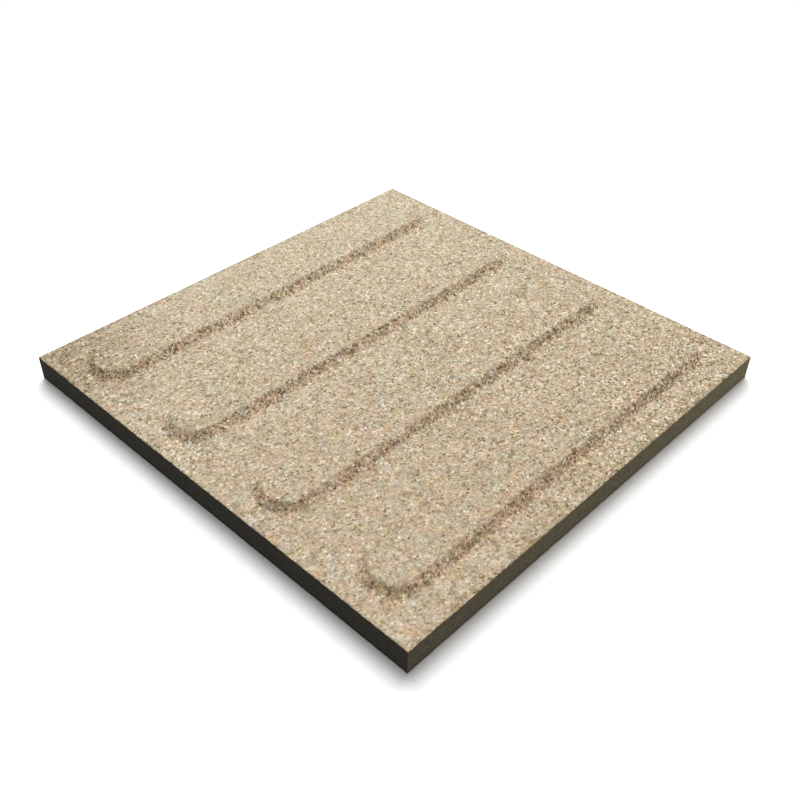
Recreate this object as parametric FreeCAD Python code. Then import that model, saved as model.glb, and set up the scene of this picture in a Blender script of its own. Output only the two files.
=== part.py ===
import FreeCAD, Part
import os

# Tactile paving slab: one pressed and fired square slab, with round-ended guiding bars raised on its face.
# Lengths are in millimetres. The slab lies on the plane z = 0, centred on the origin, and its bars run along X.

# Paving module
module = 300.0            # side of the square that one laid slab takes up, joint included
joint_width = 2.0         # mortar joint between two neighbouring slabs

# Slab body
body_thickness = 15.5     # bedding face to the flat ground between the bars
arris = 0.3               # small chamfer on every edge of the body

# Guiding bars
bar_count = 4
bar_top_width = 25.0      # flat walking face of a bar
bar_flank_run = 5.0       # how far a sloping flank reaches out from that face, down to the ground
bar_height = 4.5          # walking face above the ground
bar_end_margin = 12.0     # slab edge to the foot of a bar's round end
root_radius = 2.5         # hollow where a flank meets the ground
crest_radius = 0.8        # rounding where a flank meets the walking face

# Sizes that follow from those
slab_side = module - joint_width
bar_pitch = module / bar_count                      # the bars keep this spacing from slab to slab
crest_level = body_thickness + bar_height
bar_crest_half = bar_top_width / 2
bar_foot_half = bar_crest_half + bar_flank_run
bar_root_depth = bar_height / 4                     # a bar's taper is carried on this far inside the body
bar_root_half = bar_foot_half + bar_flank_run * bar_root_depth / bar_height
bar_end_centre = slab_side / 2 - bar_end_margin - bar_foot_half
level_tolerance = 1e-4                              # two heights closer than this are the same height


def make_body():
    corner = FreeCAD.Vector(-slab_side / 2, -slab_side / 2, 0)
    block = Part.makeBox(slab_side, slab_side, body_thickness, corner)
    return block.makeChamfer(arris, block.Edges)


def bar_half_section():
    """The half of a bar's tapered section on the +Y side of its middle, as a face standing at x = 0."""
    root_level = body_thickness - bar_root_depth
    outline = [
        FreeCAD.Vector(0, 0, root_level),
        FreeCAD.Vector(0, bar_root_half, root_level),
        FreeCAD.Vector(0, bar_crest_half, crest_level),
        FreeCAD.Vector(0, 0, crest_level),
    ]
    return Part.Face(Part.makePolygon(outline + outline[:1]))


def make_bar(middle_y):
    """One bar along X: a straight tapered run between two half-round tapered ends."""
    up = FreeCAD.Vector(0, 0, 1)
    start = FreeCAD.Vector(-bar_end_centre, 0, 0)
    finish = FreeCAD.Vector(bar_end_centre, 0, 0)
    left_half = bar_half_section()
    right_half = left_half.mirror(FreeCAD.Vector(), FreeCAD.Vector(0, 1, 0))
    run_length = finish - start
    pieces = [half.translated(start).extrude(run_length) for half in (left_half, right_half)]
    pieces.append(left_half.translated(start).revolve(start, up, 180))
    pieces.append(right_half.translated(finish).revolve(finish, up, 180))
    bar = pieces[0].fuse(pieces[1:]).removeSplitter()
    return bar.translated(FreeCAD.Vector(0, middle_y, 0))


def bar_outline_edges(shape, level):
    """The edges of the bars' round-ended outlines that lie at one height."""
    reach = slab_side / 2 - arris - level_tolerance
    found = []
    for edge in shape.Edges:
        box = edge.BoundBox
        flat = abs(box.ZMin - level) < level_tolerance and abs(box.ZMax - level) < level_tolerance
        inside = max(abs(box.XMin), abs(box.XMax), abs(box.YMin), abs(box.YMax)) < reach
        if flat and inside:
            found.append(edge)
    return found


def make_slab():
    first_bar = -bar_pitch * (bar_count - 1) / 2
    bars = [make_bar(first_bar + bar_pitch * index) for index in range(bar_count)]
    slab = make_body().fuse(bars).removeSplitter()
    slab = slab.makeFillet(root_radius, bar_outline_edges(slab, body_thickness))
    slab = slab.makeFillet(crest_radius, bar_outline_edges(slab, crest_level))
    return slab.Solids[0]                           # the bars stand on the body, so all of it is one solid


slab = make_slab()
os.makedirs("parts", exist_ok=True)
slab.exportStep("parts/tactile_slab.step")
print("tactile_slab", slab.ShapeType, len(slab.Solids), "solid, valid", slab.isValid())
print("box", slab.BoundBox, "volume cm3", round(slab.Volume / 1000, 2), "faces", len(slab.Faces))
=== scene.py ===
import math
from bisect import bisect_left
from itertools import accumulate

import bmesh
import bpy
from mathutils import Matrix, Vector, noise


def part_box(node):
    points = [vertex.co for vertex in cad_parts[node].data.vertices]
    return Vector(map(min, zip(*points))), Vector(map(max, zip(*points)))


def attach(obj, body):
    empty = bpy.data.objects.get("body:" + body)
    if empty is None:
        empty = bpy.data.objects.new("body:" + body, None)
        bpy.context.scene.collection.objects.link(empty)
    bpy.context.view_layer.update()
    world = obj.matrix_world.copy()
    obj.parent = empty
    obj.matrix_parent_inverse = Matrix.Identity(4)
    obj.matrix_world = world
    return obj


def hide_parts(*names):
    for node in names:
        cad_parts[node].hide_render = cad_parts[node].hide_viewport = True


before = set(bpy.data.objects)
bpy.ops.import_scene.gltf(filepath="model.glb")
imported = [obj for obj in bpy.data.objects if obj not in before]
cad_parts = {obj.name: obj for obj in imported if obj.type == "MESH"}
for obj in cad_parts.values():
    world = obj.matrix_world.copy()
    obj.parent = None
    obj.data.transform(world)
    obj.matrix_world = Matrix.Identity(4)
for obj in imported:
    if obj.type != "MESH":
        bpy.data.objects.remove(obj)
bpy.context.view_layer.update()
mm = 0.001
seedSpread = (1.0, 1.7, 2.3)


# each seed reads its noise somewhere else
def seedShift(seed):
    return tuple(seed * along for along in seedSpread)


# a finished mesh as an object in the scene
def addMesh(bm, name):
    mesh = bpy.data.meshes.new(name)
    bm.to_mesh(mesh)
    bm.free()
    made = bpy.data.objects.new(name, mesh)
    bpy.context.scene.collection.objects.link(made)
    return made


# a node's output that can stand in a plain sum or product
class Wire:
    def __init__(self, weave, socket):
        self.weave = weave
        self.socket = socket

    def __add__(self, other):
        return self.weave.math("ADD", self, other)

    def __sub__(self, other):
        return self.weave.math("SUBTRACT", self, other)

    def __rsub__(self, other):
        return self.weave.math("SUBTRACT", other, self)

    def __mul__(self, other):
        return self.weave.math("MULTIPLY", self, other)

    def __truediv__(self, other):
        return self.weave.math("DIVIDE", self, other)

    def __rtruediv__(self, other):
        return self.weave.math("DIVIDE", other, self)

    __radd__ = __add__
    __rmul__ = __mul__

    # another output of the same node
    def other(self, output):
        return Wire(self.weave, self.socket.node.outputs[output])


# the nodes of a material or of the world
class Weave:
    def __init__(self, owner):
        owner.use_nodes = True
        self.tree = owner.node_tree
        self.tree.nodes.clear()

    # settings go on the node first, then values and links on its sockets
    def node(self, kind, settings=None, sockets=None, output=0):
        made = self.tree.nodes.new(kind)
        for key, value in (settings or {}).items():
            if key == "stops":
                self.setStops(made.color_ramp, value)
            else:
                setattr(made, key, value)
        for key, value in (sockets or {}).items():
            if isinstance(value, Wire):
                self.tree.links.new(value.socket, made.inputs[key])
            else:
                made.inputs[key].default_value = value
        return Wire(self, made.outputs[output]) if made.outputs else None

    def setStops(self, ramp, stops):
        while len(ramp.elements) < len(stops):
            ramp.elements.new(1)
        for element, (place, colour) in zip(ramp.elements, stops):
            element.position = place
            element.color = (*colour, 1)

    def math(self, operation, *values):
        return self.node("ShaderNodeMath", {"operation": operation}, dict(enumerate(values)))

    def vector(self, operation, *values):
        return self.node("ShaderNodeVectorMath", {"operation": operation}, dict(enumerate(values)))

    def scale(self, vector, factor):
        return self.node("ShaderNodeVectorMath", {"operation": "SCALE"}, {0: vector, "Scale": factor})

    # a Mix node's colours are its inputs 6 and 7 and its output 2, and its plain values are inputs 2 and 3
    def mix(self, factor, first, second, blend="MIX"):
        first, second = [c if isinstance(c, Wire) else (*c, 1) for c in (first, second)]
        settings = {"data_type": "RGBA", "blend_type": blend}
        return self.node("ShaderNodeMix", settings, {0: factor, 6: first, 7: second}, 2)

    def tint(self, factor, colour, by):
        return self.mix(factor, colour, by, "MULTIPLY")

    def blend(self, factor, first, second):
        return self.node("ShaderNodeMix", {"data_type": "FLOAT"}, {0: factor, 2: first, 3: second})

    # 0 below low, 1 above high, smooth between
    def step(self, value, low, high):
        sockets = {"Value": value, "From Min": low, "From Max": high}
        return self.node("ShaderNodeMapRange", {"interpolation_type": "SMOOTHSTEP"}, sockets)

    # x, y or z of a place, for an axis of 0, 1 or 2
    def along(self, place, axis):
        return self.node("ShaderNodeSeparateXYZ", {}, {0: place}, axis)

    def moved(self, place, seed):
        return self.vector("ADD", place, seedShift(seed))

    # soft value about 0.5, with lumps of the given size
    def cloud(self, place, size, seed, detail=1.0, output="Fac"):
        sockets = {"Vector": self.moved(place, seed), "Scale": 1 / size, "Detail": detail}
        return self.node("ShaderNodeTexNoise", {}, sockets, output)

    # the same about 0
    def swell(self, place, size, seed, detail=1.0):
        return self.cloud(place, size, seed, detail) - 0.5

    # a place pushed about, so that what is laid there gets wavy borders
    def stirred(self, place, size, reach, seed):
        push = self.vector("SUBTRACT", self.cloud(place, size, seed, output="Color"), (0.5, 0.5, 0.5))
        return self.vector("ADD", place, self.scale(push, reach))

    # a random value for each grain of about the given size
    def grains(self, place, size, seed):
        sockets = {"Vector": self.moved(place, seed), "Scale": 1 / size}
        cells = self.node("ShaderNodeTexVoronoi", {}, sockets, "Color")
        return self.node("ShaderNodeSeparateColor", {}, {0: cells})

    # one shader for rays from the camera, one for mirrored rays and rays through glass, one for the rest
    def byRay(self, seen, mirrored, rest):
        camera = self.node("ShaderNodeLightPath", {}, {}, "Is Camera Ray")
        indirect = self.math("MAXIMUM", camera.other("Is Glossy Ray"), camera.other("Is Transmission Ray"))
        rest = self.node("ShaderNodeMixShader", {}, {0: indirect, 1: rest, 2: mirrored})
        return self.node("ShaderNodeMixShader", {}, {0: camera, 1: rest, 2: seen})


# the slab: sizes in mm
slab = {
    "node": "tactile_slab",
    "slot": "stoneware",
    "bodyThickness": 15.5,
    "barCount": 4,
    "barPitch": 75.0,
    "barTopWidth": 25.0,
    "flankRun": 5.0,
    "endMargin": 12.0,
    "rootRadius": 2.5,
    "crestRadius": 0.8,
    "arris": 0.3,
    "lowArris": 0.1,         # the edge that the slab lies on shows no wider one
    "columns": 280, "endCrowd": 1.8,         # the face's mesh: how many times closer at the bars' ends
    "rows": 312, "flankCrowd": 2.3,          # and at their flanks
    "crowdMargin": 1.5,      # how far past a flank it stays closer
    "crowdSteps": 6000,      # how finely the places of its rows are worked out
    "sideRings": 4,
    "pitSizes": (2.3, 1.1),
    "pitDepth": 0.15,        # how deep the grain of the face goes
    "pitMiddle": 0.5, "pitSwing": 0.3,       # shares of that: the usual depth, and the swing of each size
    "flankGrain": 2.8,
    "flankWander": 0.5,      # how far grains push a flank in and out
    "chipSize": 1.7,
    "chipDepth": 0.2,        # how far grains have come off the arris
    "chipLean": 0.25,        # at 0 half of the arris is chipped, above 0 more of it
    "chipReach": 0.7,        # how far down a side those chips show
    "cornerInset": 0.45, "cornerRise": 0.15, # an edge this near a corner and this steep is the corner's own
}
low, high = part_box(slab["node"])
slabHalf = (high.x - low.x) / 2 / mm
crestLevel = high.z / mm
barHeight = crestLevel - slab["bodyThickness"]
crestHalf = slab["barTopWidth"] / 2
footHalf = crestHalf + slab["flankRun"]
endCentre = slabHalf - slab["endMargin"] - footHalf
flankAngle = math.atan2(barHeight, slab["flankRun"])
crestTangent = slab["crestRadius"] * math.tan(flankAngle / 2)
rootTangent = slab["rootRadius"] * math.tan(flankAngle / 2)


# height of the face above the ground, at a distance from the middle line of a bar
def barRise(distance):
    crestStart = crestHalf - crestTangent
    crestStop = crestHalf + crestTangent * math.cos(flankAngle)
    rootStart = footHalf - rootTangent * math.cos(flankAngle)
    rootStop = footHalf + rootTangent
    if distance <= crestStart:
        return barHeight
    if distance < crestStop:
        radius = slab["crestRadius"]
        return barHeight - radius + math.sqrt(radius ** 2 - (distance - crestStart) ** 2)
    if distance < rootStart:
        return barHeight * (footHalf - distance) / slab["flankRun"]
    if distance < rootStop:
        radius = slab["rootRadius"]
        return radius - math.sqrt(radius ** 2 - (rootStop - distance) ** 2)
    return 0.0


# distance from the middle line of the nearest bar
def barDistance(x, y):
    halfRow = (slab["barCount"] - 1) / 2
    index = min(max(round(y / slab["barPitch"] + halfRow), 0), slab["barCount"] - 1)
    across = y - (index - halfRow) * slab["barPitch"]
    return math.hypot(max(abs(x) - endCentre, 0), across)


# noise from -1 to 1 with lumps of a size in mm
def lumps(spot, size, seed):
    return noise.noise(spot / size + Vector(seedShift(seed)))


# places from -reach to reach, closer together where the crowd is higher
def crowdedPlaces(count, reach, crowd):
    steps = slab["crowdSteps"]
    fine = [reach * (2 * k / steps - 1) for k in range(steps + 1)]
    passed = list(accumulate(crowd(spot) for spot in fine))
    return [fine[bisect_left(passed, passed[-1] * k / count)] for k in range(count + 1)]


def columnCrowd(x):
    near = endCentre + crestHalf / 2
    far = endCentre + footHalf + slab["crowdMargin"]
    return slab["endCrowd"] if near < abs(x) < far else 1.0


def rowCrowd(y):
    near = crestHalf - slab["crowdMargin"]
    far = footHalf + slab["crowdMargin"]
    return slab["flankCrowd"] if near < barDistance(0.0, y) < far else 1.0


# moves an even grid's rows and columns to their crowded places
def spreadGrid(bm, reach):
    places = [
        crowdedPlaces(slab["columns"], reach, columnCrowd),
        crowdedPlaces(slab["rows"], reach, rowCrowd),
    ]
    for vert in bm.verts:
        for axis, row in enumerate(places):
            share = (vert.co[axis] / mm / reach + 1) / 2
            vert.co[axis] = row[round(share * (len(row) - 1))] * mm


# raises the bars, with grainy flanks, and pits the whole face
def moveFace(bm):
    coarse, fine = slab["pitSizes"]
    swing = slab["pitSwing"]
    for vert in bm.verts:
        x, y = vert.co.x / mm, vert.co.y / mm
        spot = Vector((x, y, 0))
        wander = slab["flankWander"] * lumps(spot, slab["flankGrain"], seed=0)
        pit = slab["pitMiddle"] + swing * lumps(spot, coarse, seed=31) + swing * lumps(spot, fine, seed=5)
        pit = slab["pitDepth"] * min(max(pit, 0), 1)
        vert.co.z = (slab["bodyThickness"] + barRise(barDistance(x, y) + wander) - pit) * mm


# one ring of the slab's outline, set at a half width and a height, with grains off where it is chipped
def setRing(verts, half, level, chip=0.0):
    biggest = max(max(abs(v.co.x), abs(v.co.y)) for v in verts)
    onSide = 0.999
    for vert in verts:
        spot = Vector((vert.co.x, vert.co.y, level * mm)) / mm
        back = chip * max(lumps(spot, slab["chipSize"], seed=2) + slab["chipLean"], 0)
        for axis in (0, 1):
            place = vert.co[axis] / biggest
            vert.co[axis] = place * (half - back if abs(place) > onSide else half) * mm
        vert.co.z = (level - back) * mm


# grows a ring of faces from the outline, and gives the new outline
def nextRing(bm, edges):
    grown = bmesh.ops.extrude_edge_only(bm, edges=edges)["geom"]
    verts = [g for g in grown if isinstance(g, bmesh.types.BMVert)]
    ringEdges = [e for e in grown if isinstance(e, bmesh.types.BMEdge)]
    return verts, ringEdges


# the upright edges where two sides meet
def cornerEdges(bm):
    reach = (slabHalf - slab["cornerInset"]) * mm
    found = []
    for edge in bm.edges:
        ends = [v.co for v in edge.verts]
        upright = abs(ends[0].z - ends[1].z) > slab["cornerRise"] * mm
        if upright and all(min(abs(c.x), abs(c.y)) > reach for c in ends):
            found.append(edge)
    return found


# the extrusions leave the sides' faces in a chance order, so they are put in the order of their vertices
def orderFaces(bm):
    bm.verts.index_update()
    ordered = sorted(bm.faces, key=lambda face: sorted(v.index for v in face.verts))
    for rank, face in enumerate(ordered):
        face.index = rank
    bm.faces.sort()


def makeSlab():
    bm = bmesh.new()
    arris = slab["arris"]
    reach = slabHalf - arris
    bmesh.ops.create_grid(bm, x_segments=slab["columns"], y_segments=slab["rows"], size=reach * mm)
    spreadGrid(bm, reach)
    moveFace(bm)
    edges = [e for e in bm.edges if e.is_boundary]
    top = slab["bodyThickness"] - arris
    verts, edges = nextRing(bm, edges)
    setRing(verts, slabHalf, top, slab["chipDepth"])
    sharp = list(edges)
    top -= slab["chipReach"]
    for ring in range(slab["sideRings"] + 1):
        verts, edges = nextRing(bm, edges)
        setRing(verts, slabHalf, top + (slab["lowArris"] - top) * ring / slab["sideRings"])
        if ring in (0, slab["sideRings"]):
            sharp += edges
    verts, edges = nextRing(bm, edges)
    setRing(verts, slabHalf - slab["lowArris"], 0)
    sharp += edges
    bmesh.ops.contextual_create(bm, geom=edges)
    bmesh.ops.recalc_face_normals(bm, faces=bm.faces)
    for face in bm.faces:
        face.smooth = True
    for edge in sharp + cornerEdges(bm):
        edge.smooth = False
    orderFaces(bm)
    return addMesh(bm, "pavingSlab")


# the pressed granite face: sizes in mm, depths as shares of the tone range
granite = {
    "tones": [               # dark to pale
        (0.00, (0.152, 0.108, 0.054)),
        (0.175, (0.239, 0.177, 0.097)),
        (0.316, (0.327, 0.251, 0.151)),
        (0.456, (0.435, 0.342, 0.225)),
        (0.596, (0.562, 0.454, 0.316)),
        (0.702, (0.663, 0.555, 0.404)),
        (0.807, (0.768, 0.670, 0.517)),
        (0.912, (0.894, 0.798, 0.646)),
        (1.00, (0.986, 0.914, 0.761)),
    ],
    "middle": 0.624,
    "grainSize": 1.2, "grainDepth": 0.385, "grainLean": 0.06,
    "stirSize": 1.0, "stirReach": 0.8,               # waves in the grains' borders
    "dustSize": 1.0, "dustDepth": 0.60,
    "lumpSize": 3.0, "lumpDepth": 0.43,
    "patchSize": 9.0, "patchDepth": 0.14,
    "calmSize": 6.0, "calm": 1.2,                    # patches where the speckle is weaker
    "hueGain": 2.0,
    "blushSize": 8.0, "blush": ((0.959, 1.015, 0.999), (1.042, 0.984, 1.001)),
    "warmthSize": 7.5, "warmth": ((0.970, 1.006, 1.080), (1.030, 0.994, 0.923)),
    "mica": (0.110, 0.081, 0.045), "micaSize": 1.1, "micaShare": 0.05, "micaDepth": 0.35,
    "micaEdge": 0.02,
    "drift": (0.008, 0.045), "driftCalm": 0.2,       # painted light: the face pales a little along X, more along Y, towards the key lamp
    "driftTints": (
        ((1.004, 0.998, 1.003), (0.999, 1.002, 0.985)),
        ((1.018, 0.998, 0.978), (0.994, 1.007, 0.992)),
    ),
    "darkCorner": 0.21, "darkCornerReach": 95.0,               # the darker corner at -X, +Y
    "darkCornerContrast": 0.3,
    "edgeDark": 0.08, "edgeDarkReach": 6.0,        # and the darker edge at -Y
    "rim": 0.14, "rimReach": 2.0,                    # and the thin dark rims at +X and +Y
    "worn": 0.46, "wornReach": 250.0,                # the worn corner at -X, -Y: softer grains,
    "wornHue": 0.55,                                 # clearer hues,
    "wornPale": 0.04, "wornPaleReach": 110.0,        # and paler close to it
    "bumpSize": 0.9, "bumpStrength": 0.3, "bumpDepth": 0.2,
    "roughness": 0.85, "micaRoughness": 0.6,
}
# the same granite on the bars' flanks, darker and redder: partly their own finish, and painted shade where
# they face -X and -Y, away from the key lamp
flankLook = {
    "lowest": 0.3, "highest": 0.4, "fade": 0.6,      # reach from the ground and from the crest, in mm
    "faces": (-0.7, -0.7, 0.0),                      # which way those face,
    "turn": (0.1, 0.45),                             # and how squarely
    "otherFlankDark": 0.8, "otherRed": 0.15,              # shares of dark and of red on the other flanks
    "shadeSpill": 0.7,                                    # share of it on the ground by a flank, as painted shade at the bars' feet,
    "spillFrom": 0.5, "spillTo": 3.0,                # and where it fades there, in mm
    "spillSize": 3.0, "spillWander": 2.0,
    "tint": (1.052, 0.987, 0.946), "hueGain": 1.2,
    "tone": -0.022, "contrast": 0.4,
    "micaShare": 0.06, "micaDepth": 0.45,
}
# the plain fired body on the sides and underside: sizes in mm
firedBody = {
    "dark": (0.050, 0.049, 0.039),
    "pale": (0.109, 0.100, 0.076),
    "lumpSize": 1.4, "lumpSpan": (0.25, 0.75),
    "footShade": (0.35, 0.35, 0.35), "footSpan": (0.4, 2.2),     # painted contact shade along the foot of the sides
    "seam": 0.30,            # how far below the face's ground its granite stops
    "seamSize": 1.6, "seamWander": 0.15, "seamBlur": 0.06,
    "roughness": 0.9,
    "specular": 0.2,         # the face's too
}


# 1 at a corner of the face, fading with the distance from it
def cornerMask(weave, place, x, y, reach):
    away = weave.vector("DISTANCE", place, (x, y, slab["bodyThickness"])).other("Value")
    return 1 - weave.step(away, 0.0, reach)


# dark and red on the flanks, partly their own finish and partly painted shade: 1 where they face -X and -Y,
# away from the key lamp, less on the others, and painted shade on the ground by their feet
def flankFinishAndShade(weave, place, height):
    x, y = [weave.along(place, axis) for axis in (0, 1)]
    pastEnd = x - weave.math("MAXIMUM", weave.math("MINIMUM", x, endCentre), -endCentre)
    firstEdge = slab["barPitch"] * slab["barCount"] / 2
    across = weave.math("FLOORED_MODULO", y + firstEdge, slab["barPitch"]) - slab["barPitch"] / 2
    outward = weave.node("ShaderNodeCombineXYZ", {}, {0: pastEnd, 1: across})
    heading = weave.vector("NORMALIZE", outward)
    facing = weave.vector("DOT_PRODUCT", heading, flankLook["faces"]).other("Value")
    turned = weave.step(facing, *flankLook["turn"])

    above = height - slab["bodyThickness"]
    crest = barHeight - flankLook["highest"]
    foot = weave.step(above, flankLook["lowest"], flankLook["lowest"] + flankLook["fade"])
    top = weave.step(above, crest - flankLook["fade"], crest)
    past = weave.vector("LENGTH", outward).other("Value") - footHalf
    # painted shade on the ground along the bars' feet
    past = past + flankLook["spillWander"] * weave.swell(place, flankLook["spillSize"], seed=71)
    shadeSpill = flankLook["shadeSpill"] * (1 - weave.step(past, flankLook["spillFrom"], flankLook["spillTo"]))
    band = weave.math("MAXIMUM", foot, shadeSpill) * (1 - top)
    return [band * weave.blend(turned, flankLook[share], 1.0) for share in ("otherFlankDark", "otherRed")]


# colour of the face, and 1 on its dark mica
def graniteColour(weave, place, height):
    # the flanks' dark and red: partly their own finish, partly painted shade on the flanks facing away from
    # the key lamp
    flank, red = flankFinishAndShade(weave, place, height)
    darkCorner = cornerMask(weave, place, -slabHalf, slabHalf, granite["darkCornerReach"])
    worn, wornPale = [
        cornerMask(weave, place, -slabHalf, -slabHalf, granite[reach])
        for reach in ("wornReach", "wornPaleReach")
    ]
    drifts = [weave.along(place, axis) / slabHalf for axis in (0, 1)]
    edge = 1 - weave.step((drifts[1] + 1) * slabHalf, 0.0, granite["edgeDarkReach"])
    rim = weave.step(weave.math("MAXIMUM", *drifts) * slabHalf, slabHalf - granite["rimReach"], slabHalf)

    # speckle: most grains are near the middle tone, and a few are far paler or darker
    grainPlace = weave.stirred(place, granite["stirSize"], granite["stirReach"], seed=3)
    spread = 2 * weave.grains(grainPlace, granite["grainSize"], seed=19) - (1 + granite["grainLean"])
    speckle = granite["grainDepth"] * spread * spread * spread
    dust = weave.swell(place, granite["dustSize"], seed=11, detail=0.0)
    speckle = speckle + granite["dustDepth"] * dust
    kept = 1 - granite["worn"] * worn
    speckle = speckle * kept + granite["lumpDepth"] * weave.swell(place, granite["lumpSize"], seed=41)
    contrast = 1 + granite["calm"] * weave.swell(place, granite["calmSize"], seed=61)
    contrast = contrast - granite["driftCalm"] * drifts[1]
    contrast = contrast + flankLook["contrast"] * flank + granite["darkCornerContrast"] * darkCorner
    tone = granite["middle"] + contrast * speckle
    tone = tone + granite["patchDepth"] * weave.swell(place, granite["patchSize"], seed=53)
    tone = tone + granite["wornPale"] * wornPale + flankLook["tone"] * flank
    tone = tone - granite["darkCorner"] * darkCorner - granite["edgeDark"] * edge - granite["rim"] * rim
    # painted light: the face paler towards the key lamp at +X, +Y
    for drift, depth in zip(drifts, granite["drift"]):
        tone = tone + depth * drift
    face = weave.node("ShaderNodeValToRGB", {"stops": granite["tones"]}, {0: tone})

    # soft patches of greener or rosier, greyer or yellower minerals
    for drift, tints in zip(drifts, granite["driftTints"]):
        face = weave.tint(1.0, face, weave.mix(0.5 + 0.5 * drift, *tints))
    gain = granite["hueGain"] * (1 + granite["wornHue"] * worn) + flankLook["hueGain"] * red
    for name, seed in (("blush", 7), ("warmth", 23)):
        lean = 0.5 + gain * weave.swell(place, granite[name + "Size"], seed)
        face = weave.tint(1.0, face, weave.mix(lean, *granite[name]))
    face = weave.tint(red, face, flankLook["tint"])

    # a few grains of dark mica, more of them on the flanks
    pick = weave.grains(grainPlace, granite["micaSize"], seed=67)
    share = granite["micaShare"] + flankLook["micaShare"] * flank
    mica = weave.step(pick + share, 1 - granite["micaEdge"], 1 + granite["micaEdge"])
    depth = granite["micaDepth"] * kept + flankLook["micaDepth"] * flank
    return weave.mix(depth * mica, face, granite["mica"]), mica


def makeStoneware():
    material = bpy.data.materials.new("graniteStoneware")
    weave = Weave(material)
    place = weave.scale(weave.node("ShaderNodeTexCoord", {}, {}, "Object"), 1 / mm)
    height = weave.along(place, 2)
    face, mica = graniteColour(weave, place, height)
    faceRoughness = weave.blend(mica, granite["roughness"], granite["micaRoughness"])

    lump = weave.cloud(place, firedBody["lumpSize"], seed=3, detail=3.0)
    body = weave.mix(weave.step(lump, *firedBody["lumpSpan"]), firedBody["dark"], firedBody["pale"])
    # painted shade: the sides darker along their foot, where they meet the floor
    body = weave.tint(1 - weave.step(height, *firedBody["footSpan"]), body, firedBody["footShade"])

    # the face's granite ends along the foot of the arris, on a wavy line
    seam = slab["bodyThickness"] - firedBody["seam"]
    seam = seam + 2 * firedBody["seamWander"] * weave.swell(place, firedBody["seamSize"], seed=17)
    faced = weave.step(height - seam, -firedBody["seamBlur"], firedBody["seamBlur"])

    bump = weave.node("ShaderNodeBump", {}, {
        "Strength": granite["bumpStrength"],
        "Distance": granite["bumpDepth"] * mm,
        "Height": weave.cloud(place, granite["bumpSize"], seed=29, detail=2.0),
    })
    shader = weave.node("ShaderNodeBsdfPrincipled", {}, {
        "Base Color": weave.mix(faced, body, face),
        "Roughness": weave.blend(faced, firedBody["roughness"], faceRoughness),
        "Specular IOR Level": firedBody["specular"],
        "Normal": bump,
    })
    weave.node("ShaderNodeOutputMaterial", {}, {"Surface": shader})
    return material


piece = makeSlab()
piece.data.materials.append(makeStoneware())
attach(piece, "root")
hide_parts(slab["node"])
print("slab made,", len(piece.data.polygons), "faces")


# the floor: over-white where it is seen, so that only the shadow shows, and dim as a bounce
stage = {
    "reach": 4.0,                            # lengths in metres
    "seen": 2.17, "mirrored": 1.0, "bounce": 0.2,
    "whiteFrom": 0.35, "whiteTo": 0.8,       # plain white past the shadow
}


def makeFloor():
    bm = bmesh.new()
    bmesh.ops.create_grid(bm, x_segments=1, y_segments=1, size=stage["reach"])
    floor = addMesh(bm, "floor")
    material = bpy.data.materials.new("paleFloor")
    weave = Weave(material)
    seen, mirrored, bounce = [
        weave.node("ShaderNodeBsdfDiffuse", {}, {"Color": (stage[key], stage[key], stage[key], 1)})
        for key in ("seen", "mirrored", "bounce")
    ]
    place = weave.node("ShaderNodeTexCoord", {}, {}, "Object")
    away = weave.vector("LENGTH", place).other("Value")
    past = weave.step(away, stage["whiteFrom"], stage["whiteTo"])
    white = weave.node("ShaderNodeEmission", {}, {"Color": (1, 1, 1, 1), "Strength": 1.0})
    seen = weave.node("ShaderNodeMixShader", {}, {0: past, 1: seen, 2: white})
    weave.node("ShaderNodeOutputMaterial", {}, {"Surface": weave.byRay(seen, mirrored, bounce)})
    floor.data.materials.append(material)


# levels are shares of plain light on the face, the power is in watts, angles in degrees, lengths in metres
light = {
    "ambient": 0.18,
    "key": {"level": 0.465, "azimuth": 43.0, "elevation": 52.5, "distance": 5.0, "radius": 2.5},
    "sky": {"level": 0.335, "azimuth": -45.0, "elevation": 77.0, "distance": 1.5, "radius": 2.5},
    "strip": {
        "power": 0.073, "colour": (1.0, 0.88, 0.60), "length": 0.42, "height": 0.007,
        "lift": 0.001, "gap": 0.042, "shift": 0.03, "yaw": 6.0,
    },
}


# back points from what the lamp is aimed at to the lamp, and lit holds the pieces that it lights, if not all
def placeLamp(data, place, back, lit=None):
    lamp = bpy.data.objects.new(data.name, data)
    lamp.location = place
    lamp.rotation_mode = "QUATERNION"
    lamp.rotation_quaternion = (-back).to_track_quat("-Z", "Y")
    lamp.visible_camera = False
    bpy.context.scene.collection.objects.link(lamp)
    if lit:
        lamp.light_linking.receiver_collection = lit


# a round lamp aimed at the middle of the slab
def addDisc(name, values, lit=None):
    azimuth, elevation = [math.radians(values[key]) for key in ("azimuth", "elevation")]
    flat = math.cos(elevation)
    back = Vector((math.cos(azimuth) * flat, math.sin(azimuth) * flat, math.sin(elevation)))
    radius = values["radius"]
    distance = values["distance"]
    share = radius ** 2 / (radius ** 2 + distance ** 2) * back.z     # of an even sky's light on the face
    data = bpy.data.lights.new(name, "AREA")
    data.shape = "DISK"
    data.size = 2 * radius
    data.energy = values["level"] / share * math.pi * math.pi * radius ** 2
    placeLamp(data, back * distance, back, lit)


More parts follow.
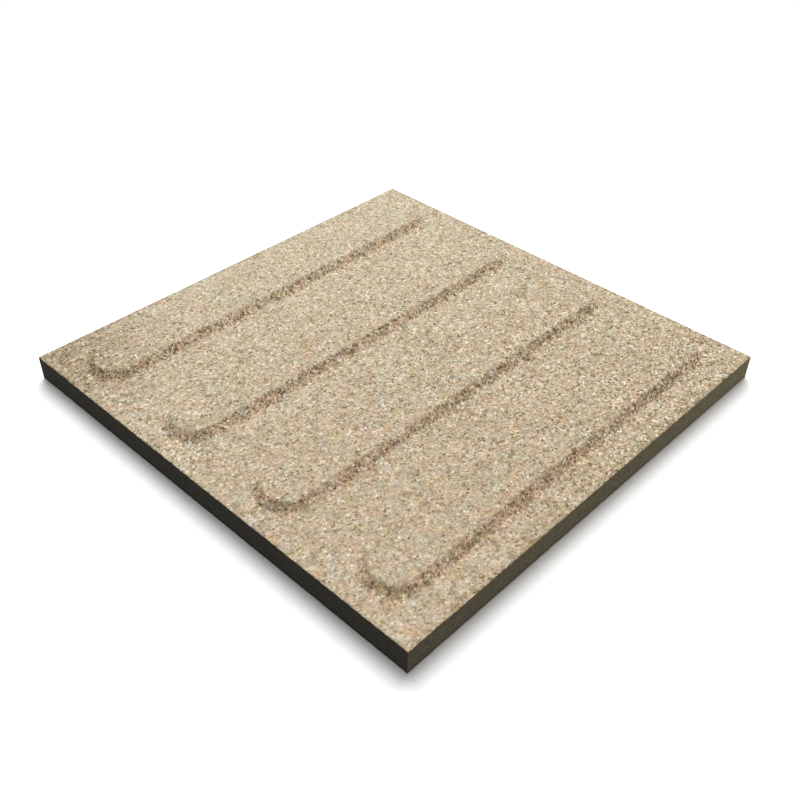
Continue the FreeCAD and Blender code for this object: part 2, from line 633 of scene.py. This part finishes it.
# a low lamp along the slab's -Y side, under the level of its face
def addStrip(name, values, lit):
    data = bpy.data.lights.new(name, "AREA")
    data.shape = "RECTANGLE"
    data.size = values["length"]
    data.size_y = values["height"]
    data.energy = values["power"]
    data.color = values["colour"]
    yaw = math.radians(values["yaw"])
    level = values["height"] / 2 + values["lift"]
    place = Vector((values["shift"], -slabHalf * mm - values["gap"], level))
    placeLamp(data, place, Vector((math.sin(yaw), -math.cos(yaw), 0)), lit)


# a white world with little light of its own, one lamp for all and two for the slab alone
def makeLights(piece):
    world = bpy.data.worlds.new("studio")
    bpy.context.scene.world = world
    weave = Weave(world)
    white, dim = [
        weave.node("ShaderNodeBackground", {}, {"Color": (1, 1, 1, 1), "Strength": strength})
        for strength in (1.0, light["ambient"])
    ]
    weave.node("ShaderNodeOutputWorld", {}, {"Surface": weave.byRay(white, white, dim)})
    onlySlab = bpy.data.collections.new("onlySlab")
    onlySlab.objects.link(piece)
    addDisc("softKey", light["key"])
    addDisc("skyFill", light["sky"], onlySlab)
    addStrip("lowStrip", light["strip"], onlySlab)


# the view: degrees, metres, and millimetres for the lens, the sensor and the aim on the face's ground
view = {
    "azimuth": -46.96, "elevation": 39.44, "roll": 1.14,
    "lens": 45.25, "sensor": 36.0, "nearest": 0.01,
    "distance": 0.5634, "aim": (-28.3, -28.6),
}


def makeCamera():
    azimuth, elevation, roll = [math.radians(view[key]) for key in ("azimuth", "elevation", "roll")]
    flat = math.cos(elevation)
    back = Vector((math.sin(azimuth) * flat, -math.cos(azimuth) * flat, math.sin(elevation)))
    level = Vector((0, 0, 1)).cross(back).normalized()
    upright = back.cross(level)
    right = level * math.cos(roll) + upright * math.sin(roll)
    up = upright * math.cos(roll) - level * math.sin(roll)
    data = bpy.data.cameras.new("camera")
    data.lens = view["lens"]
    data.sensor_width = view["sensor"]
    data.clip_start = view["nearest"]
    camera = bpy.data.objects.new("camera", data)
    aim = Vector((*view["aim"], slab["bodyThickness"])) * mm
    turn = Matrix((right, up, back)).transposed().to_4x4()
    camera.matrix_world = Matrix.Translation(aim + back * view["distance"]) @ turn
    bpy.context.scene.collection.objects.link(camera)
    bpy.context.scene.camera = camera


makeFloor()
makeLights(piece)
makeCamera()
bpy.context.scene.view_settings.view_transform = "Standard"
print("stage, lights and camera set")
